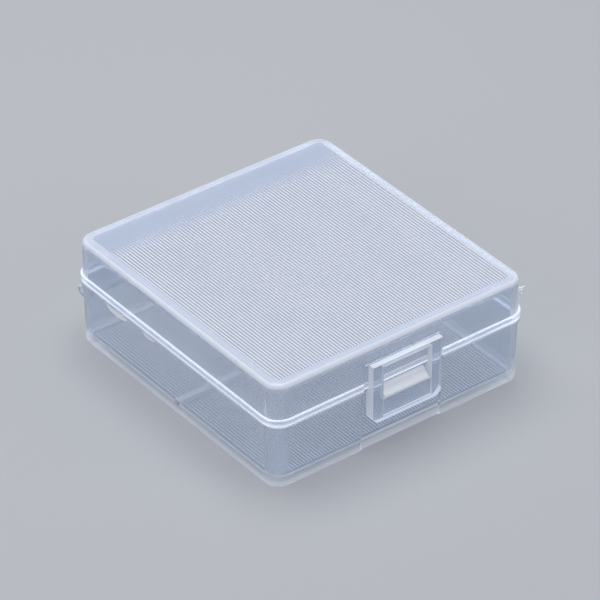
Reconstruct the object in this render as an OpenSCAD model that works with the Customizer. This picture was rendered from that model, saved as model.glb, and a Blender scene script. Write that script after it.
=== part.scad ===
// Clear flip-lid case for nine volt batteries that lie flat side by side.
// X runs along the latch face, Y from the latch to the hinge, Z up from the case's underside.

/* [Batteries] */
// Length of one battery
battery_l = 48.5; // [30:0.5:70]
// Width of one battery
battery_w = 26.5; // [15:0.5:40]
// Thickness of one battery
battery_t = 17.5; // [14:0.5:30]
// Number of batteries from front to back
bays = 2; // [1:1:4]
// Spare room along the batteries
play_l = 4.1; // [0.5:0.1:8]
// Spare room across all the batteries
play_w = 2.6; // [0.5:0.1:6]
// Spare room over the batteries
play_t = 1.5; // [0.3:0.1:4]

/* [Shell] */
// Thickness of the side walls
wall = 1.2; // [1:0.1:1.8]
// Thickness of the tray's floor
floor_t = 1.2; // [0.8:0.1:2.5]
// Thickness of the lid's top
top_t = 1.2; // [0.8:0.1:2.5]
// Height of the tray, from the underside to the rim
tray_h = 13.1; // [11:0.1:15]
// Radius of the upright corners, outside at the rim
corner_r = 3.2; // [2.4:0.1:6]
// Inward lean of the tray's walls from the rim to the underside
tray_draft = 0.28; // [0:0.02:0.5]
// Inward lean of the lid's walls from the rim to the top
lid_draft = 0.1; // [0:0.01:0.3]
// Rounding of the underside's edge
foot_r = 0.5; // [0.2:0.1:0.8]
// Rounding of the lid's top edge
crown_r = 1; // [0.3:0.1:1.5]
// Fillet inside, where the walls meet the floor and the top
inner_r = 0.9; // [0.3:0.1:1]

/* [Rim] */
// How far the rim beads stand out from the walls
bead_out = 0.36; // [0.2:0.02:0.8]
// Height of the lid's rim bead
lid_bead_h = 1.35; // [0.8:0.05:2]
// Height of the tray's rim bead
tray_bead_h = 0.75; // [0.5:0.05:1.5]
// Rounding of the beads' edges
bead_r = 0.22; // [0.05:0.01:0.24]
// Gap between the closed rims
rim_gap = 0.04; // [0.02:0.01:0.2]

/* [Divider] */
// Height of the rib between the bays
rib_h = 1.2; // [0.4:0.1:4]
// Thickness of the rib
rib_t = 1.25; // [0.6:0.05:2]

/* [Hinge strap] */
// Width of the strap along the back, at its lower edge
strap_w = 51.5; // [20:0.5:54]
// How much narrower the strap is above its bend, on each side
strap_inset = 1; // [0:0.1:2]
// Height from the strap's lower crease to its upper one
strap_rise = 6.015; // [4:0.005:7]
// How far the lower crease stands further out than the upper one
strap_splay = 0.06; // [0:0.01:0.6]
// Thickness of the strap
strap_t = 0.4; // [0.3:0.05:0.6]
// Radius of the strap's bend, at mid thickness
strap_bend_r = 1.05; // [0.5:0.05:1.5]
// Gap at the creases, where the plastic is thinned to a film
crease_gap = 0.03; // [0.02:0.01:0.08]

/* [Latch] */
// Width of the latch
latch_w = 15.2; // [12:0.2:24]
// Thickness of the latch's frame beside the lid
latch_t = 1.25; // [0.8:0.05:2]
// Gap between the lid's wall and the latch
latch_gap = 0.2; // [0.15:0.01:0.8]
// Height of the latch's lower edge over the underside
latch_foot_z = 6.05; // [4:0.05:8]
// Width of the latch's side bars
latch_bar_w = 2.3; // [1.5:0.1:4]
// Radius of the latch's lower corners
latch_corner_r = 2; // [0.5:0.1:3]
// Height of the cross bar over the window
latch_cross_h = 0.8; // [0.5:0.05:2]
// How far the lower plate lies behind the bars' front faces
latch_step = 0.35; // [0:0.05:0.6]
// Rounding of the latch's front edges
latch_edge_r = 0.25; // [0.1:0.05:0.5]
// Depth of the latch's top below the lid's top face
latch_top_drop = 3.2; // [2.2:0.05:4]
// Thickness of the ledge and of the rounded edge that the latch turns on
latch_web_t = 0.45; // [0.3:0.05:0.6]
// How far the ledge reaches past the latch on each side
latch_ledge_side = 0.45; // [0:0.05:1]
// How far below the rim the latch's thicker lower part starts
latch_shoulder_drop = 0.7; // [0.6:0.05:2]
// Gap between the thicker part and the recess in the tray's wall
latch_back_gap = 0.2; // [0.15:0.05:0.5]

/* [Catch] */
// Depth of the recess in the tray's front wall
recess_d = 0.6; // [0.3:0.05:0.7]
// Room beside the latch in the recess
recess_side = 1.1; // [0.3:0.1:2]
// How far the catch's underside lies below the rim
catch_drop = 2.65; // [2.1:0.05:4]
// Height of the catch's nose
catch_nose_h = 0.4; // [0.2:0.1:1]
// How far the catch's top lies below the rim
catch_top_drop = 0.8; // [0.2:0.05:1.2]
// How far the catch stands out from the front wall
catch_out = 1.25; // [0.6:0.05:1.6]
// Room on each side of the catch in the window
catch_side = 0.5; // [0.2:0.05:1.5]
// Gap between the catch and the latch's lower plate
catch_gap = 0.15; // [0.1:0.05:0.4]

/* [Moulding gate] */
// Distance of the stub's middle from the front face
gate_y = 2; // [2:0.1:8]
// Depth of the stub below the lid's top face
gate_drop = 4.2; // [3:0.1:6]
// Radius of the stub
gate_r = 0.4; // [0.2:0.05:0.8]
// Length of the stub
gate_l = 0.8; // [0.3:0.1:1.5]

/* [Hidden] */

$fn = 48;
CLEAR_PP = [0.80, 0.86, 0.95, 0.55];
EPS = 0.01;      // overlap of pieces that are joined in one solid
OVER = 2;        // run-out of cutting tools past a face
ARC_STEPS = 6;   // flats in a quarter circle of a wall profile

case_w = battery_l + play_l + 2 * wall;
case_d = bays * battery_w + play_w + 2 * wall;
case_h = battery_t + play_t + floor_t + top_t;
half_w = case_w / 2;
half_d = case_d / 2;
front_y = -half_d;
back_y = half_d;
lid_h = case_h - tray_h - rim_gap;
lid_z = tray_h + rim_gap;

// Creases of the strap: the upper one beside the lid's rim bead, the lower one on the tray's ledge.
crease_r = strap_t / 2;
upper_crease = [back_y + bead_out + crease_gap + crease_r, lid_z + lid_bead_h / 2];
lower_crease = upper_crease + [strap_splay, -strap_rise];

latch_back_y = front_y - latch_gap;
latch_front_y = latch_back_y - latch_t;
latch_deep_y = front_y + recess_d - latch_back_gap;
latch_top_z = case_h - latch_top_drop;
latch_crease = [latch_back_y - latch_web_t / 2, latch_top_z - latch_web_t / 2];
latch_window_w = latch_w - 2 * latch_bar_w;
catch_z = tray_h - catch_drop;
latch_window_z0 = catch_z - catch_gap;
latch_window_z1 = latch_top_z - latch_cross_h;
recess_w = latch_w + 2 * recess_side;

// Points of an arc about c, from angle a0 to a1.
function arc(c, r, a0, a1, steps = ARC_STEPS) =
    [for (i = [0 : steps]) let (a = a0 + (a1 - a0) * i / steps) c + r * [cos(a), sin(a)]];

// Half section of the tray: x from the corner's axis outwards, y up.
function tray_section() =
    let (
        outer = corner_r,
        foot = corner_r - tray_draft,
        inner = corner_r - wall,
        inner_foot = inner - tray_draft,
        bead = corner_r + bead_out,
        bead_z = tray_h - tray_bead_h
    )
    concat(
        [[0, 0]],
        arc([foot - foot_r, foot_r], foot_r, -90, 0),
        [[outer, bead_z]],
        arc([bead - bead_r, bead_z + bead_r], bead_r, -90, 0),
        arc([bead - bead_r, tray_h - bead_r], bead_r, 0, 90),
        [[inner, tray_h]],
        arc([inner_foot - inner_r, floor_t + inner_r], inner_r, 0, -90),
        [[0, floor_t]]
    );

// Half section of the lid, with its rim at y = 0 and its top face at y = lid_h.
function lid_section() =
    let (
        outer = corner_r,
        crown = corner_r - lid_draft,
        inner = corner_r - wall,
        inner_crown = inner - lid_draft,
        bead = corner_r + bead_out
    )
    concat(
        [[inner, 0]],
        arc([bead - bead_r, bead_r], bead_r, -90, 0),
        arc([bead - bead_r, lid_bead_h - bead_r], bead_r, 0, 90),
        [[outer, lid_bead_h]],
        arc([crown - crown_r, lid_h - crown_r], crown_r, 0, 90),
        [[0, lid_h], [0, lid_h - top_t]],
        arc([inner_crown - inner_r, lid_h - top_t - inner_r], inner_r, 90, 0)
    );

// Carries a half section round the case: four corners and the four walls between them.
module round_the_case() {
    corner_x = half_w - corner_r;
    corner_y = half_d - corner_r;
    for (side = [0 : 3]) {
        odd = side % 2;
        reach = odd ? corner_y : corner_x;
        run = odd ? corner_x : corner_y;
        rotate([0, 0, 90 * side]) {
            translate([reach, 0, 0])
                rotate([90, 0, 0])
                    linear_extrude(height = 2 * run, center = true)
                        children();
            translate([reach, run, 0])
                rotate_extrude(angle = 90)
                    children();
        }
    }
}

// Flat plate between the corners' axes.
module middle_plate(z, t) {
    translate([corner_r - half_w, corner_r - half_d, z])
        cube([case_w - 2 * corner_r, case_d - 2 * corner_r, t]);
}

// Carries a side view along X. Its own x runs along Y and its own y runs up.
module along_x(width) {
    rotate([90, 0, 90])
        linear_extrude(height = width, center = true)
            children();
}

// Cutter for the front of the tray where the latch hangs. Its floor leans with the wall.
module tray_recess() {
    lean = tray_draft / tray_h;
    along_x(recess_w)
        polygon([
            [front_y - OVER, -OVER],
            [front_y + recess_d + lean * (tray_h + OVER), -OVER],
            [front_y + recess_d - lean * OVER, tray_h + OVER],
            [front_y - OVER, tray_h + OVER]
        ]);
}

// Cutter for the lid's bead where the latch hangs.
module lid_bead_gap() {
    translate([-recess_w / 2, front_y - OVER, lid_z - OVER])
        cube([recess_w, OVER, lid_bead_h + OVER + EPS]);
}

// Rib on the floor between two bays.
module divider(y) {
    side_x = half_w - wall / 2 - tray_draft;
    translate([-side_x, y - rib_t / 2, floor_t - EPS])
        cube([2 * side_x, rib_t, rib_h + EPS]);
}

// Wedge on the front wall that the latch snaps under.
module catch() {
    catch_w = latch_window_w - 2 * catch_side;
    top_z = tray_h - catch_top_drop;
    root_y = front_y + (recess_d + wall) / 2;
    nose_y = front_y - catch_out;
    along_x(catch_w)
        polygon([
            [root_y, catch_z],
            [nose_y, catch_z],
            [nose_y, catch_z + catch_nose_h],
            [front_y, top_z],
            [root_y, top_z]
        ]);
}

// Ledge on the back wall that carries the strap's lower crease.
module strap_ledge() {
    root_y = back_y - tray_draft - EPS;
    lip_y = lower_crease[0] - crease_r - crease_gap;
    translate([-strap_w / 2, root_y, lower_crease[1] - crease_r])
        cube([strap_w, lip_y - root_y, strap_t]);
}

module base_tray() {
    color(CLEAR_PP) {
        difference() {
            union() {
                round_the_case() polygon(tray_section());
                middle_plate(0, floor_t);
            }
            tray_recess();
        }
        for (bay = [1 : 1 : bays - 1])
            divider(-half_d + wall + bay * (case_d - 2 * wall) / bays);
        catch();
        strap_ledge();
    }
}

// Strap that joins the tray to the lid. It folds at a thin crease at each edge.
module hinge_strap() {
    bend = lower_crease + [0, strap_bend_r];
    way = upper_crease - bend;
    lean = atan2(way[1], way[0]) - acos(strap_bend_r / norm(way));
    reach = sqrt(way * way - strap_bend_r * strap_bend_r);
    color(CLEAR_PP) {
        along_x(strap_w) {
            translate(lower_crease)
                circle(r = crease_r);
            polygon(concat(
                arc(bend, strap_bend_r + crease_r, -90, lean, 2 * ARC_STEPS),
                arc(bend, strap_bend_r - crease_r, lean, -90, 2 * ARC_STEPS)
            ));
        }
        along_x(strap_w - 2 * strap_inset) {
            translate(upper_crease)
                circle(r = crease_r);
            translate(bend + strap_bend_r * [cos(lean), sin(lean)])
                rotate(lean)
                    translate([-crease_r, -EPS])
                        square([strap_t, reach + EPS]);
        }
    }
}

// Ledge on the lid's wall that carries the latch's crease.
module latch_ledge() {
    ledge_w = latch_w + 2 * latch_ledge_side;
    root_y = front_y + wall / 2;
    lip_y = latch_back_y + crease_gap;
    translate([-ledge_w / 2, lip_y, latch_top_z - latch_web_t])
        cube([ledge_w, root_y - lip_y, latch_web_t]);
}

// Stub that is left where the plastic ran into the mould.
module gate_stub() {
    translate([half_w - wall, front_y + gate_y, case_h - gate_drop])
        rotate([0, 90, 0])
            cylinder(r = gate_r, h = wall + gate_l);
}

module lid() {
    color(CLEAR_PP) {
        difference() {
            translate([0, 0, lid_z]) {
                round_the_case() polygon(lid_section());
                middle_plate(lid_h - top_t, top_t);
            }
            lid_bead_gap();
        }
        latch_ledge();
        gate_stub();
    }
}

// Front view of the latch's frame: x along the case, y up.
module latch_outline() {
    reach = latch_w / 2 - latch_corner_r;
    for (x = [-reach, reach])
        translate([x, latch_foot_z + latch_corner_r])
            circle(r = latch_corner_r);
    translate([-reach, latch_foot_z])
        square([2 * reach, latch_top_z - latch_foot_z]);
    translate([-latch_w / 2, latch_foot_z + latch_corner_r])
        square([latch_w, latch_top_z - latch_foot_z - latch_corner_r]);
}

// Side view of the latch's frame, y outwards and z up. Its lower part is thicker and lies in the
// tray's recess, and its upper back edge is left open for the crease's rounding.
module latch_side() {
    shoulder_z = tray_h - latch_shoulder_drop;
    polygon(concat(
        [
            [latch_crease[0], latch_top_z],
            latch_crease,
            [latch_back_y, latch_crease[1]],
            [latch_back_y, shoulder_z + latch_deep_y - latch_back_y],
            [latch_deep_y, shoulder_z],
            [latch_deep_y, latch_foot_z]
        ],
        arc([latch_front_y + latch_edge_r, latch_foot_z + latch_edge_r], latch_edge_r, 270, 180),
        arc([latch_front_y + latch_edge_r, latch_top_z - latch_edge_r], latch_edge_r, 180, 90)
    ));
}

// Plan of the latch's frame, with rounded front corners.
module latch_plan() {
    reach = latch_w / 2 - latch_edge_r;
    polygon(concat(
        [[latch_w / 2, latch_deep_y], [-latch_w / 2, latch_deep_y]],
        arc([-reach, latch_front_y + latch_edge_r], latch_edge_r, 180, 270),
        arc([reach, latch_front_y + latch_edge_r], latch_edge_r, 270, 360)
    ));
}

// The frame without its window: what its three views share.
module latch_blank() {
    intersection() {
        translate([0, latch_deep_y, 0])
            rotate([90, 0, 0])
                linear_extrude(height = latch_deep_y - latch_front_y)
                    latch_outline();
        along_x(latch_w) latch_side();
        linear_extrude(height = case_h) latch_plan();
    }
}

// Cutter between the side bars, from z0 to z1 and from y0 to y1.
module between_bars(z0, z1, y0, y1) {
    translate([-latch_window_w / 2, y0, z0])
        cube([latch_window_w, y1 - y0, z1 - z0]);
}

module front_latch() {
    out_y = latch_front_y - OVER;
    border = latch_corner_r / 2;
    color(CLEAR_PP) {
        difference() {
            latch_blank();
            // window
            between_bars(latch_window_z0, latch_window_z1, out_y, latch_deep_y + OVER);
            // step of the lower plate
            between_bars(latch_foot_z + border, latch_window_z0 + EPS,
                out_y, latch_front_y + latch_step);
        }
        // rounded upper back edge, which turns on the crease
        translate([0, latch_crease[0], latch_crease[1]])
            rotate([0, 90, 0])
                cylinder(r = latch_web_t / 2, h = latch_w, center = true);
    }
}

base_tray();
hinge_strap();
lid();
front_latch();
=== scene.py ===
"""Clear flip-lid case for nine volt batteries, dressed around its CAD frame.

X runs along the latch face, Y from the latch to the hinge strap, Z up; lengths are in metres.
"""

import math

import bpy
import bmesh
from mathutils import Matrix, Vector, noise


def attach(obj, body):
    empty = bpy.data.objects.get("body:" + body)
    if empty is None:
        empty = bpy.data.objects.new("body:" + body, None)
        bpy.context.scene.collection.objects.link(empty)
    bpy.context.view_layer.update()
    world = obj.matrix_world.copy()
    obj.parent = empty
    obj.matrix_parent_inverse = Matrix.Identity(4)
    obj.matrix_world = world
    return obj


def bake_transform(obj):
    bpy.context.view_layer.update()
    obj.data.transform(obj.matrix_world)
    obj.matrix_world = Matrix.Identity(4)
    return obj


MM = 0.001

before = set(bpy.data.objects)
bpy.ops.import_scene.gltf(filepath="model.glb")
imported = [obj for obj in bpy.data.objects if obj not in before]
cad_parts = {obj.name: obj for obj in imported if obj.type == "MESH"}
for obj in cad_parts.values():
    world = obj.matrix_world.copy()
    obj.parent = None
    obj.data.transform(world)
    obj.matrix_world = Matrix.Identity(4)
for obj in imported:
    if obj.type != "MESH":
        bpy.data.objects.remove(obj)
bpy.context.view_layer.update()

# Sizes of the moulding, as in its CAD source
CASE_W, CASE_D, CASE_H = 55 * MM, 58 * MM, 21.4 * MM
FLOOR_T = 1.2 * MM
WALL_T = 1.2 * MM
CORNER_R = 3.2 * MM
RIB_T = 1.25 * MM
STRAP_W, STRAP_TOP_W = 51.5 * MM, 49.5 * MM
LATCH_W = 15.2 * MM

# Limits that tell the faces of the moulding apart
FOOT_TOP_Z = 2.3 * MM
RIB_LIMIT_Z = 3 * MM
CROWN_H = 2.2 * MM
CATCH_Y, CATCH_HALF_W, CATCH_FOOT_Z = -28.55 * MM, 5.2 * MM, 9 * MM
LATCH_LIP_Z = 8.2 * MM
LEVEL, UPRIGHT = 0.985, 0.03

# Fine mould lines on the lid's top and on the tray's floor
LINE_PITCH = 0.614 * MM
LINE_W = 0.32 * MM
LINE_CREST_W = 0.14 * MM
LINE_H = 0.07 * MM
LINE_SINK = 0.02 * MM
TOP_MARGIN = 2.1 * MM
FLOOR_MARGIN = 2.9 * MM
RIB_MARGIN = 0.1 * MM
TOP_LINES_END = 23.6 * MM
TOP_LINES_FADE = 6.5 * MM

# Films that close the creases
FILM_T = 0.2 * MM
FILM_INSET = 0.1 * MM
FILM_STEP = 0.07 * MM

# Light that passes straight through the plastic, so that its shadow stays pale
LAMPS_THROUGH = 0.7

# Studio levels: fill light on the object, and the backdrop seen in gloss and through the plastic
FILL_LEVEL, BACKDROP_LEVEL = 0.40, 0.9


# Node helpers

def add_inputs(tree, sockets):
    """Named inputs with their values, for a shader group or a Geometry Nodes tree."""
    for label, kind, value in sockets:
        socket = tree.interface.new_socket(label, in_out="INPUT", socket_type="NodeSocket" + kind)
        socket.default_value = value


def add_outputs(tree, sockets):
    for label, kind in sockets:
        tree.interface.new_socket(label, in_out="OUTPUT", socket_type="NodeSocket" + kind)


def feed(tree, kind, values, operation=None):
    """Adds a node, sets its first inputs to numbers or to other sockets, and gives its output."""
    node = tree.nodes.new(kind)
    if operation:
        node.operation = operation
    for socket, value in zip(node.inputs, values):
        if isinstance(value, (int, float)):
            socket.default_value = value
        else:
            tree.links.new(value, socket)
    return node.outputs[0]


def maths(tree, operation, *values):
    return feed(tree, "ShaderNodeMath", values, operation)


def object_place(tree):
    """X, Y and Z of the surface in Object coordinates."""
    where = tree.nodes.new("ShaderNodeTexCoord")
    parts = tree.nodes.new("ShaderNodeSeparateXYZ")
    tree.links.new(where.outputs["Object"], parts.inputs[0])
    return parts.outputs


# Materials

def milky_plastic_group():
    """Cloudy moulded plastic: slow changes in colour and haze, and the mould face's ripple."""
    group = bpy.data.node_groups.new("MilkyMoulding", "ShaderNodeTree")
    add_inputs(group, (
        ("Milk Colour", "Color", (0.8, 0.87, 0.96, 1)),
        ("Thin Colour", "Color", (0.7, 0.8, 0.93, 1)),
        ("Cloud Size", "Float", 90.0),
        ("Haze Low", "Float", 0.1),
        ("Haze High", "Float", 0.2),
        ("Ripple", "Float", 0.3),
    ))
    add_outputs(group, (("Colour", "Color"), ("Haze", "Float"), ("Height", "Float")))

    nodes, links = group.nodes, group.links
    given = nodes.new("NodeGroupInput")
    out = nodes.new("NodeGroupOutput")
    where = nodes.new("ShaderNodeTexCoord")
    cloud = nodes.new("ShaderNodeTexNoise")
    cloud.inputs["Detail"].default_value = 3
    links.new(where.outputs["Object"], cloud.inputs["Vector"])
    links.new(given.outputs["Cloud Size"], cloud.inputs["Scale"])
    blend = nodes.new("ShaderNodeMix")
    blend.data_type = "RGBA"
    links.new(cloud.outputs["Fac"], blend.inputs["Factor"])
    links.new(given.outputs["Thin Colour"], blend.inputs["A"])
    links.new(given.outputs["Milk Colour"], blend.inputs["B"])
    links.new(blend.outputs["Result"], out.inputs["Colour"])
    haze = nodes.new("ShaderNodeMapRange")
    links.new(cloud.outputs["Fac"], haze.inputs["Value"])
    links.new(given.outputs["Haze Low"], haze.inputs["To Min"])
    links.new(given.outputs["Haze High"], haze.inputs["To Max"])
    links.new(haze.outputs["Result"], out.inputs["Haze"])
    ripple = nodes.new("ShaderNodeTexNoise")
    ripple.inputs["Scale"].default_value = 420
    ripple.inputs["Detail"].default_value = 2
    links.new(where.outputs["Object"], ripple.inputs["Vector"])
    height = maths(group, "MULTIPLY", ripple.outputs["Fac"], given.outputs["Ripple"])
    links.new(height, out.inputs["Height"])
    return group


def painted_edge_glow_group():
    """Height on the case, 0 to 1, and a mask of its outer skin, where the edges get a painted
    glow.
    """
    group = bpy.data.node_groups.new("PaintedEdgeGlow", "ShaderNodeTree")
    add_inputs(group, (
        ("Half Width", "Float", CASE_W / 2),
        ("Half Depth", "Float", CASE_D / 2),
        ("Corner", "Float", CORNER_R),
        ("Skin", "Float", 1.05 * MM),
        ("Top Skin", "Float", TOP_MARGIN),
        ("Top Height", "Float", CASE_H - 0.2 * MM),
    ))
    add_outputs(group, (("Height", "Float"), ("Outer Skin", "Float")))
    nodes, links = group.nodes, group.links
    given, out = nodes.new("NodeGroupInput").outputs, nodes.new("NodeGroupOutput").inputs
    place = object_place(group)

    def past_corner(side, half):
        """How far the surface lies past the start of the corner's rounding on this axis."""
        reach = maths(group, "SUBTRACT", half, given["Corner"])
        past = maths(group, "SUBTRACT", maths(group, "ABSOLUTE", place[side]), reach)
        return maths(group, "MAXIMUM", past, 0.0)

    across = past_corner("X", given["Half Width"])
    along = past_corner("Y", given["Half Depth"])
    squares = maths(group, "ADD", maths(group, "MULTIPLY", across, across),
                    maths(group, "MULTIPLY", along, along))
    depth = maths(group, "SUBTRACT", given["Corner"], maths(group, "SQRT", squares))
    on_top = maths(group, "GREATER_THAN", place["Z"], given["Top Height"])
    extra = maths(group, "SUBTRACT", given["Top Skin"], given["Skin"])
    skin_here = maths(group, "ADD", given["Skin"], maths(group, "MULTIPLY", on_top, extra))
    links.new(maths(group, "LESS_THAN", depth, skin_here), out["Outer Skin"])
    links.new(maths(group, "DIVIDE", place["Z"], CASE_H), out["Height"])
    return group


def paint_edge_glow(mat, group, levels, colour=(0.87, 0.87, 0.94), strength=0.32):
    """Paints a glow on the outer skin with emission, a painted highlight though the plastic is no
    lamp: levels are (height in mm, level) stops.
    """
    tree = mat.node_tree
    nodes, links = tree.nodes, tree.links
    shader = nodes["Principled BSDF"]
    place = nodes.new("ShaderNodeGroup")
    place.node_tree = group
    ramp = nodes.new("ShaderNodeValToRGB")
    stops = ramp.color_ramp.elements
    for k, (height, level) in enumerate(levels):
        # A new ramp has two stops already
        stop = stops[k] if k < 2 else stops.new(1.0)
        stop.position = height * MM / CASE_H
        stop.color = (level, level, level, 1)
    links.new(place.outputs["Height"], ramp.inputs["Fac"])
    shine = nodes.new("ShaderNodeMix")
    shine.data_type = "RGBA"
    shine.inputs["A"].default_value = (0, 0, 0, 1)
    shine.inputs["B"].default_value = (*colour, 1)
    share = maths(tree, "MULTIPLY", ramp.outputs["Color"], place.outputs["Outer Skin"])
    links.new(share, shine.inputs["Factor"])
    links.new(shine.outputs["Result"], shader.inputs["Emission Color"])
    shader.inputs["Emission Strength"].default_value = strength


def clear_polypropylene(name, see=0.82, milk=(0.81, 0.86, 0.935), thin=(0.74, 0.815, 0.915),
                        haze=(0.04, 0.10), ripple=0.3):
    """See-through natural polypropylene: refracts, and scatters a bluish white."""
    mat = bpy.data.materials.new(name)
    mat.use_nodes = True
    tree = mat.node_tree
    nodes, links = tree.nodes, tree.links
    shader = nodes["Principled BSDF"]
    body = nodes.new("ShaderNodeGroup")
    body.node_tree = moulding
    body.inputs["Milk Colour"].default_value = (*milk, 1)
    body.inputs["Thin Colour"].default_value = (*thin, 1)
    body.inputs["Haze Low"].default_value, body.inputs["Haze High"].default_value = haze
    body.inputs["Ripple"].default_value = ripple
    links.new(body.outputs["Colour"], shader.inputs["Base Color"])
    links.new(body.outputs["Haze"], shader.inputs["Roughness"])
    bump = nodes.new("ShaderNodeBump")
    bump.inputs["Strength"].default_value = 0.15
    bump.inputs["Distance"].default_value = 0.05 * MM
    links.new(body.outputs["Height"], bump.inputs["Height"])
    links.new(bump.outputs["Normal"], shader.inputs["Normal"])
    shader.inputs["IOR"].default_value = 1.49
    shader.inputs["Transmission Weight"].default_value = see
    rays = nodes.new("ShaderNodeLightPath")
    through = nodes.new("ShaderNodeBsdfTransparent")
    mixed = nodes.new("ShaderNodeMixShader")
    share = maths(tree, "MULTIPLY", rays.outputs["Is Shadow Ray"], LAMPS_THROUGH)
    links.new(share, mixed.inputs["Fac"])
    links.new(shader.outputs["BSDF"], mixed.inputs[1])
    links.new(through.outputs["BSDF"], mixed.inputs[2])
    links.new(mixed.outputs["Shader"], nodes["Material Output"].inputs["Surface"])
    return mat


def fade_along_y(mat, clear_y, full_y):
    """Lets a plastic fade out along Y, as the mould's polish does."""
    nodes, links = mat.node_tree.nodes, mat.node_tree.links
    fade = nodes.new("ShaderNodeMapRange")
    fade.interpolation_type = "SMOOTHSTEP"
    fade.inputs["From Min"].default_value = clear_y
    fade.inputs["From Max"].default_value = full_y
    links.new(object_place(mat.node_tree)["Y"], fade.inputs["Value"])
    links.new(fade.outputs["Result"], nodes["Principled BSDF"].inputs["Alpha"])


moulding = milky_plastic_group()
case_plastic = clear_polypropylene("clear_polypropylene")
tray_plastic = clear_polypropylene("tray_polypropylene")
lid_plastic = clear_polypropylene("lid_polypropylene")
corner_plastic = clear_polypropylene("corner_polypropylene", see=0.75, haze=(0.22, 0.30))
# A darker, less see-through copy of the plastic on the lid's flat top: painted shade in the
# valleys between the whiter mould lines
shaded_top_plastic = clear_polypropylene(
    "top_painted_shade", see=0.5, haze=(0.10, 0.16),
    milk=(0.56, 0.615, 0.725), thin=(0.505, 0.57, 0.69))
# A near-white, nearly opaque copy of the plastic for the top's mould lines: a painted highlight
# on their crests
lit_line_plastic = clear_polypropylene(
    "top_line_painted_highlight", see=0.15, haze=(0.18, 0.26),
    milk=(0.95, 0.945, 0.985), thin=(0.90, 0.905, 0.965))
# A near-white, nearly opaque copy of the plastic for the floor's mould lines: a painted highlight
# on the ridges
lit_floor_line_plastic = clear_polypropylene(
    "lit_floor_line_plastic", see=0.1, milk=(0.95, 0.95, 0.98), thin=(0.92, 0.93, 0.97))
# A more diffuse copy of the plastic for rounded edges: it stands partly for the longer path
# through the haze, and partly it is painted light over the shade seen there
hazy_lit_edge_plastic = clear_polypropylene(
    "thick_edge_and_painted_light", see=0.3, haze=(0.32, 0.42),
    milk=(0.80, 0.825, 0.895), thin=(0.76, 0.79, 0.87))
# A whiter, more diffuse copy of the plastic: a painted highlight on the catch's face, the rib and
# the latch's edges
highlight_plastic = clear_polypropylene(
    "painted_highlight_plastic", see=0.3, milk=(0.93, 0.945, 0.985), thin=(0.88, 0.91, 0.97))
glowing_lip_plastic = clear_polypropylene("lower_lip_painted_glow", see=0.3)
torn_plastic = clear_polypropylene(
    "torn_plastic", see=0.05, haze=(0.4, 0.6), ripple=1.0,
    milk=(0.95, 0.95, 0.97), thin=(0.9, 0.91, 0.95))

fade_along_y(lit_line_plastic, TOP_LINES_END, TOP_LINES_END - TOP_LINES_FADE)
# Painted glow: the latch's lower lip emits a pale light, a painted highlight on faces that look
# down into shade
lip_glow_shader = glowing_lip_plastic.node_tree.nodes["Principled BSDF"]
lip_glow_shader.inputs["Emission Color"].default_value = (0.84, 0.87, 0.96, 1)
lip_glow_shader.inputs["Emission Strength"].default_value = 0.35

# Heights in mm of the painted glow on the outer skin: painted light on the foot, painted
# highlights on the two rim beads and on the top's margin
foot_glow_stops = ((0.0, 0.75), (1.2, 0.7), (1.35, 0.5), (1.9, 0.45), (2.3, 0))
tray_rim_glow_stops = ((12.84, 0), (12.9, 0.5), (13.12, 0.5))
lid_rim_glow_stops = ((13.13, 1), (13.38, 1), (13.46, 0.22), (14.2, 0.22),
                 (14.28, 0.7), (14.49, 0.7), (14.55, 0))
lid_top_glow_stops = ((21.25, 0), (21.32, 0.5))
skin = painted_edge_glow_group()
# Painted glow by emission on the tray's foot and rim bead, on the lid's rim beads and top margin,
# and on the corners
paint_edge_glow(tray_plastic, skin, foot_glow_stops + tray_rim_glow_stops)
paint_edge_glow(lid_plastic, skin, lid_rim_glow_stops + lid_top_glow_stops)
paint_edge_glow(corner_plastic, skin, foot_glow_stops + tray_rim_glow_stops + lid_rim_glow_stops)
paint_edge_glow(shaded_top_plastic, skin, lid_top_glow_stops)

# Material slots of every moulded node, in this order
BODY, HAZY_LIT_EDGE, PAINTED_HIGHLIGHT, ROUND_CORNER, LOWER_LIP, SHADED_TOP = range(6)
OTHER_SLOTS = (hazy_lit_edge_plastic, highlight_plastic, corner_plastic, glowing_lip_plastic, shaded_top_plastic)
BODY_PLASTIC = {"base_tray": tray_plastic, "lid": lid_plastic}


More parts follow.
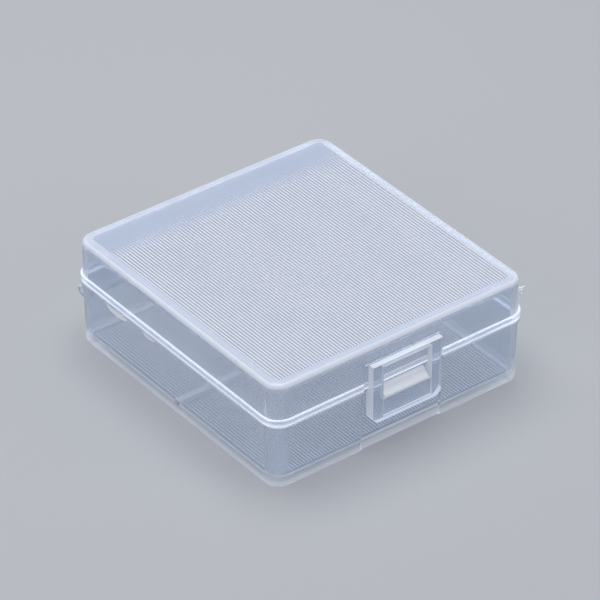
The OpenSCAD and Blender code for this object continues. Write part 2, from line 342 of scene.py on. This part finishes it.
def slot_of_face(name, middle, normal):
    """Slot of the plastic that a face of this node shows."""
    x, y, z = middle
    flat = abs(normal.z) > LEVEL
    rounded = not flat and abs(normal.z) > UPRIGHT
    corner = abs(x) > CASE_W / 2 - CORNER_R and abs(y) > CASE_D / 2 - CORNER_R
    within_x = abs(x) < CASE_W / 2 - WALL_T
    within_y = abs(y) < CASE_D / 2 - WALL_T
    if name == "front_latch":
        if abs(normal.y) > 0.8:
            return BODY
        # The latch's lower lip takes the painted glow, and its other edges take the whiter copy,
        # a painted highlight.
        return LOWER_LIP if normal.z < -0.3 and z < LATCH_LIP_Z else PAINTED_HIGHLIGHT
    if name == "base_tray":
        # The catch's face takes the whiter copy, a painted highlight.
        if y < CATCH_Y and abs(x) < CATCH_HALF_W and z > CATCH_FOOT_Z:
            return PAINTED_HIGHLIGHT
        # The tray's inner floor fillet takes the more diffuse copy, painted light over the shade
        # seen through it.
        if rounded and z < FOOT_TOP_Z and within_x and within_y:
            return HAZY_LIT_EDGE
        # The rib takes the whiter copy, painted light on a rib that stands in shade.
        if abs(y) < RIB_T and FLOOR_T < z < RIB_LIMIT_Z and within_x:
            return PAINTED_HIGHLIGHT
    if name == "lid" and z > CASE_H - CROWN_H:
        # The lid's flat top takes the darker copy, painted shade between the lit mould lines.
        if flat:
            return SHADED_TOP
        # The crown's upward rounding takes the more diffuse copy, partly painted light.
        if normal.z > 0.3:
            return HAZY_LIT_EDGE
    if name in BODY_PLASTIC and corner and not flat:
        return ROUND_CORNER
    return BODY


for name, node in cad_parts.items():
    node.data.materials.clear()
    for material in (BODY_PLASTIC.get(name, case_plastic), *OTHER_SLOTS):
        node.data.materials.append(material)
    for face in node.data.polygons:
        face.material_index = slot_of_face(name, face.center, face.normal)


# Mesh helpers

def show(name, mesh):
    """A new object in the scene, at the origin."""
    piece = bpy.data.objects.new(name, mesh)
    bpy.context.scene.collection.objects.link(piece)
    return piece


def skin_over(bm, rings):
    """Faces between neighbouring rings of a closed section, and one face at each end."""
    for low, high in zip(rings, rings[1:]):
        count = len(low)
        for k in range(count):
            bm.faces.new((low[k], low[(k + 1) % count], high[(k + 1) % count], high[k]))
    bm.faces.new(rings[0])
    bm.faces.new(rings[-1])


def show_bmesh(name, bm, material):
    """A new object from a bmesh, its faces turned outwards."""
    bmesh.ops.recalc_face_normals(bm, faces=bm.faces)
    mesh = bpy.data.meshes.new(name)
    bm.to_mesh(mesh)
    bm.free()
    mesh.materials.append(material)
    return show(name, mesh)


# Mould lines

def mould_lines_tree(name, material):
    """Parallel ridges along Y on a flat face: count, pitch and section are inputs."""
    tree = bpy.data.node_groups.new(name, "GeometryNodeTree")
    add_inputs(tree, (
        ("Count", "Int", 84),
        ("Pitch", "Float", LINE_PITCH),
        ("Length", "Float", 50 * MM),
        ("Foot Width", "Float", LINE_W),
        ("Crest Width", "Float", LINE_CREST_W),
        ("Height", "Float", LINE_H),
        ("Middle", "Vector", (0, 0, 0)),
    ))
    add_outputs(tree, (("Geometry", "Geometry"),))
    nodes, links = tree.nodes, tree.links
    given, out = nodes.new("NodeGroupInput").outputs, nodes.new("NodeGroupOutput").inputs

    def vector(x=0.0, y=0.0, z=0.0):
        return feed(tree, "ShaderNodeCombineXYZ", (x, y, z))

    half = maths(tree, "MULTIPLY", given["Length"], 0.5)
    run = nodes.new("GeometryNodeCurvePrimitiveLine")
    links.new(vector(y=maths(tree, "MULTIPLY", half, -1.0)), run.inputs["Start"])
    links.new(vector(y=half), run.inputs["End"])
    section = nodes.new("GeometryNodeCurvePrimitiveQuadrilateral")
    section.mode = "TRAPEZOID"
    links.new(given["Height"], section.inputs["Height"])
    links.new(given["Foot Width"], section.inputs["Bottom Width"])
    links.new(given["Crest Width"], section.inputs["Top Width"])
    section.inputs["Offset"].default_value = 0
    ridge = nodes.new("GeometryNodeCurveToMesh")
    ridge.inputs["Fill Caps"].default_value = True
    links.new(run.outputs["Curve"], ridge.inputs["Curve"])
    links.new(section.outputs["Curve"], ridge.inputs["Profile Curve"])
    gaps = maths(tree, "SUBTRACT", given["Count"], 1.0)
    span = maths(tree, "MULTIPLY", gaps, given["Pitch"])
    places = nodes.new("GeometryNodeMeshLine")
    links.new(given["Count"], places.inputs["Count"])
    links.new(vector(x=maths(tree, "MULTIPLY", span, -0.5)), places.inputs["Start Location"])
    links.new(vector(x=given["Pitch"]), places.inputs["Offset"])
    repeat = nodes.new("GeometryNodeInstanceOnPoints")
    links.new(places.outputs["Mesh"], repeat.inputs["Points"])
    links.new(ridge.outputs["Mesh"], repeat.inputs["Instance"])
    move = nodes.new("GeometryNodeTransform")
    links.new(repeat.outputs["Instances"], move.inputs["Geometry"])
    links.new(given["Middle"], move.inputs["Translation"])
    real = nodes.new("GeometryNodeRealizeInstances")
    links.new(move.outputs["Geometry"], real.inputs["Geometry"])
    paint = nodes.new("GeometryNodeSetMaterial")
    paint.inputs["Material"].default_value = material
    links.new(real.outputs["Geometry"], paint.inputs["Geometry"])
    links.new(paint.outputs["Geometry"], out["Geometry"])
    return tree


def from_tree(name, tree, **values):
    """A plain mesh object made by a Geometry Nodes tree with these inputs."""
    holder = show(name + "_maker", bpy.data.meshes.new(name + "_maker"))
    modifier = holder.modifiers.new("maker", "NODES")
    modifier.node_group = tree
    sockets = {s.name: s.identifier for s in tree.interface.items_tree if s.in_out == "INPUT"}
    for key, value in values.items():
        modifier[sockets[key]] = value
    bpy.context.view_layer.update()
    graph = bpy.context.evaluated_depsgraph_get()
    mesh = bpy.data.meshes.new_from_object(holder.evaluated_get(graph))
    bpy.data.objects.remove(holder)
    return show(name, mesh)


def lines_on_face(name, body, face_z, margin, lengths, lines):
    """Mould lines on a face that looks up, one run for each stretch of Y in lengths."""
    count = int((CASE_W - 2 * margin) / LINE_PITCH) + 1
    for i, (y0, y1) in enumerate(lengths):
        piece = from_tree(
            f"{name}_{i + 1}" if len(lengths) > 1 else name, lines,
            Count=count, Length=y1 - y0, Height=LINE_H,
            Middle=(0, (y0 + y1) / 2, face_z + LINE_H / 2 - LINE_SINK))
        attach(piece, body)


top_reach = CASE_D / 2 - TOP_MARGIN
lines_on_face("lid_top_lines", "lid", CASE_H, TOP_MARGIN, [(-top_reach, TOP_LINES_END)],
              mould_lines_tree("TopMouldLines", lit_line_plastic))
floor_reach = CASE_D / 2 - FLOOR_MARGIN
rib_side = RIB_T / 2 + RIB_MARGIN
lines_on_face("tray_floor_lines", "tray", FLOOR_T, FLOOR_MARGIN,
              [(-floor_reach, -rib_side), (rib_side, floor_reach)],
              mould_lines_tree("FloorMouldLines", lit_floor_line_plastic))


# Creases

def crease_film(name, path, width):
    """Thin film that bends between two bodies, along a path of (y, z) points in mm."""
    points = [Vector((0, y * MM, z * MM)) for y, z in path]
    fine = []
    for a, b in zip(points, points[1:]):
        steps = max(1, round((b - a).length / FILM_STEP))
        fine += [a.lerp(b, i / steps) for i in range(steps)]
    fine.append(points[-1])
    bm = bmesh.new()
    rows = []
    reach = width / 2 - FILM_INSET
    for i, point in enumerate(fine):
        along = (fine[min(i + 1, len(fine) - 1)] - fine[max(i - 1, 0)]).normalized()
        side = Vector((0, -along.z, along.y)) * FILM_T / 2
        rows.append([bm.verts.new(point + side + Vector((x, 0, 0))) for x in (-reach, reach)]
                    + [bm.verts.new(point - side + Vector((x, 0, 0))) for x in (reach, -reach)])
    skin_over(bm, rows)
    film = show_bmesh(name, bm, case_plastic)
    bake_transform(film)


crease_film("lower_crease_film", [(29.0, 7.8), (29.65, 7.8), (29.95, 7.845)], STRAP_W)
crease_film("upper_crease_film", [(29.66, 13.46), (29.59, 13.815), (29.1, 13.815)], STRAP_TOP_W)
crease_film("latch_crease_film", [(-29.05, 17.975), (-29.6, 17.975)], LATCH_W)


# Moulding marks, with lengths in mm

GATE_ROOT = Vector((27.3, -27.0, 17.2))
GATE_STRANDS = (
    # Points of each torn strand, counted from the gate's root, and its radius at each point
    (((0, 0, 0.7), (0.45, 0, 0.66), (0.75, -0.05, 0.55), (1.1, -0.1, 0.72), (1.3, -0.1, 0.78)),
     (0.26, 0.24, 0.17, 0.12, 0.09)),
    (((0, 0.05, 0.25), (0.5, 0, 0.22), (0.8, -0.04, 0.12), (0.98, 0, -0.02)),
     (0.34, 0.3, 0.2, 0.08)),
    (((0, 0, -0.3), (0.4, -0.03, -0.34), (0.62, 0, -0.38), (0.8, 0.05, -0.3)),
     (0.3, 0.26, 0.18, 0.08)),
    (((0, 0, -0.7), (0.5, 0, -0.72), (0.85, 0.03, -0.74), (1.05, 0.05, -0.8)),
     (0.22, 0.19, 0.13, 0.05)),
)
STRAND_SIDES, STRAND_ROUGH = 7, 0.25

FLASH_WALL_X, FLASH_TOP_Z, FLASH_T, FLASH_GAP = -27.62, 12.5, 0.11, 0.1
FLASH_RUNS = (
    # Back end, length, depth and steps of each run of flash
    (19.6, 6.4, 1.0, 26),
    (8.6, 3.6, 0.45, 16),
)


def torn_strand(bm, path, radii, seed):
    """One ragged tongue of torn plastic along path, closed at both ends."""
    points = [(GATE_ROOT + Vector(p)) * MM for p in path]
    rings = []
    for i, (point, radius) in enumerate(zip(points, radii)):
        along = (points[min(i + 1, len(points) - 1)] - points[max(i - 1, 0)]).normalized()
        side = along.orthogonal().normalized()
        ring = []
        for k in range(STRAND_SIDES):
            angle = 2 * math.pi * k / STRAND_SIDES
            out = side * math.cos(angle) + along.cross(side) * math.sin(angle)
            ragged = noise.noise(Vector((seed * 7.1 + i * 1.7, k * 2.3, seed + 0.5)) * 1.3)
            ring.append(bm.verts.new(point + out * radius * MM * (1 + STRAND_ROUGH * ragged)))
        rings.append(ring)
    skin_over(bm, rings)


def torn_gate():
    """What is left of the moulding gate on the lid's right side, torn and white."""
    bm = bmesh.new()
    for seed, (path, radii) in enumerate(GATE_STRANDS, start=1):
        torn_strand(bm, path, radii, seed)
    stub = show_bmesh("torn_gate", bm, torn_plastic)
    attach(stub, "lid")


def rim_flash():
    """Thin ragged film that squeezed out under the tray's rim on the left side, in two places."""
    bm = bmesh.new()
    for back_y, length, depth, steps in FLASH_RUNS:
        rows = []
        for i in range(steps + 1):
            share = i / steps
            y = back_y - length * share
            swell = math.sin(math.pi * share) ** 0.6
            ragged = noise.noise(Vector((i * 0.9, 4.2, 0)))
            low_z = FLASH_TOP_Z - FLASH_GAP - depth * (0.15 + swell * (0.85 + 0.5 * ragged))
            low_x = FLASH_WALL_X - 0.12 * swell - 0.10 * noise.noise(Vector((i * 0.45, 9.1, 2.0)))
            rows.append([bm.verts.new(Vector(p) * MM) for p in (
                (FLASH_WALL_X, y, FLASH_TOP_Z), (FLASH_WALL_X + FLASH_T, y, FLASH_TOP_Z),
                (low_x + FLASH_T * 0.6, y, low_z), (low_x, y, low_z))])
        skin_over(bm, rows)
    film = show_bmesh("rim_flash", bm, torn_plastic)
    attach(film, "tray")


torn_gate()
rim_flash()


# Studio

def studio_floor():
    """Pale matt table, a hair below the tray's underside."""
    mesh = bpy.data.meshes.new("studio_floor")
    half = 1.5
    mesh.from_pydata([(-half, -half, 0), (half, -half, 0), (half, half, 0), (-half, half, 0)],
                     [], [(0, 1, 2, 3)])
    floor = show("studio_floor", mesh)
    floor.location.z = -0.03 * MM
    mat = bpy.data.materials.new("studio_floor")
    mat.use_nodes = True
    shader = mat.node_tree.nodes["Principled BSDF"]
    shader.inputs["Base Color"].default_value = (0.44, 0.45, 0.47, 1)
    shader.inputs["Roughness"].default_value = 0.9
    shader.inputs["Specular IOR Level"].default_value = 0.1
    mesh.materials.append(mat)


def soft_lamp(name, place, size, watts, aim=(0, 0, 0.01)):
    """Square softbox that looks at the case."""
    lamp = bpy.data.lights.new(name, "AREA")
    lamp.shape = "RECTANGLE"
    lamp.size = lamp.size_y = size
    lamp.energy = watts
    holder = show(name, lamp)
    holder.location = place
    turn = (Vector(place) - Vector(aim)).to_track_quat("Z", "Y")
    holder.rotation_euler = turn.to_euler()


def studio():
    """Plain soft light: three softboxes, low fill, and a pale backdrop."""
    scene = bpy.context.scene
    scene.view_settings.view_transform = "Standard"
    world = bpy.data.worlds.new("studio")
    scene.world = world
    world.use_nodes = True
    nodes, links = world.node_tree.nodes, world.node_tree.links
    sky = nodes["Background"]
    sky.inputs["Color"].default_value = (0.86, 0.90, 1.0, 1)
    rays = nodes.new("ShaderNodeLightPath")
    shown = nodes.new("ShaderNodeMath")
    shown.operation = "MAXIMUM"
    shown.use_clamp = True
    level = nodes.new("ShaderNodeMapRange")
    level.inputs["To Min"].default_value = FILL_LEVEL
    level.inputs["To Max"].default_value = BACKDROP_LEVEL
    links.new(rays.outputs["Is Transmission Ray"], shown.inputs[0])
    links.new(rays.outputs["Is Glossy Ray"], shown.inputs[1])
    links.new(shown.outputs[0], level.inputs["Value"])
    links.new(level.outputs["Result"], sky.inputs["Strength"])
    soft_lamp("top_softbox", (0.02, 0.10, 0.55), 0.5, 2.6)
    soft_lamp("left_softbox", (-0.55, -0.15, 0.30), 0.35, 0.55)
    soft_lamp("right_softbox", (0.35, -0.50, 0.25), 0.35, 0.55)


def photo_camera():
    """Camera at the photo's angle and distance, as fitted to the edges of the case."""
    azimuth, elevation = math.radians(-37.584), math.radians(35.055)
    back = Vector((math.sin(azimuth) * math.cos(elevation),
                   -math.cos(azimuth) * math.cos(elevation), math.sin(elevation)))
    aim = Vector((1.24, 1.35, 10.86)) * MM
    distance = 0.74336
    lens = bpy.data.cameras.new("photo_camera")
    lens.sensor_width = 36
    lens.lens = 253.39
    lens.clip_start, lens.clip_end = 0.01, 20
    camera = show("photo_camera", lens)
    camera.location = aim + back * distance
    camera.rotation_euler = back.to_track_quat("Z", "Y").to_euler()
    bpy.context.scene.camera = camera


studio_floor()
studio()
photo_camera()
